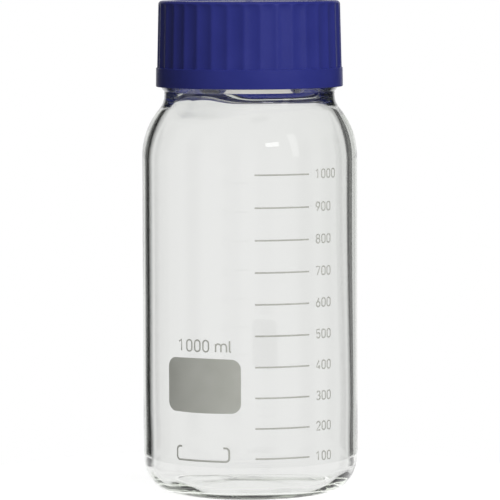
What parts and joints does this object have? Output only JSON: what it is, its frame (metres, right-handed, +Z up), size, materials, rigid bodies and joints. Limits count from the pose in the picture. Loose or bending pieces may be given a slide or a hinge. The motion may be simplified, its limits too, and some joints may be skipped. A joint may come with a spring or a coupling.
{
  "type": "wide-mouth media bottle",
  "caption": "Round clear glass laboratory bottle with a wide threaded mouth, pouring ring, seal and fluted screw cap with a smooth lower band.",
  "frame": {"origin": "centre of the ring that the bottle stands on, at the standing plane", "axes": "+Z up along the bottle's axis; the graduations face -Y"},
  "size_m": [0.101, 0.101, 0.2306],
  "materials": {
    "clear_glass": "polished clear borosilicate glass",
    "enamel_print": "fired pale grey enamel",
    "cap_plastic": "satin blue polypropylene",
    "ring_plastic": "satin blue polypropylene",
    "seal_rubber": "matt silicone",
    "seal_facing": "smooth fluoropolymer film"
  },
  "bodies": {
    "glass": {"glass_bottle": "clear_glass", "pouring_ring": "ring_plastic"},
    "seal": {"seal_pad": "seal_rubber", "seal_facing": "seal_facing"},
    "cap": {"screw_cap": "cap_plastic"}
  },
  "joints": [
    {"name": "cap_lift", "type": "slide", "parent": "glass", "child": "seal", "axis": [0, 0, 1], "range_m": [0, 0.05]},
    {"name": "cap_turn", "type": "hinge", "parent": "seal", "child": "cap", "pos_m": [0, 0, 0.21], "axis": [0, 0, 1], "range_deg": [0, 900]}
  ],
  "couplings": [
    {"joint": "cap_lift", "follows": "cap_turn", "m_per_rad": 0.003183}
  ]
}
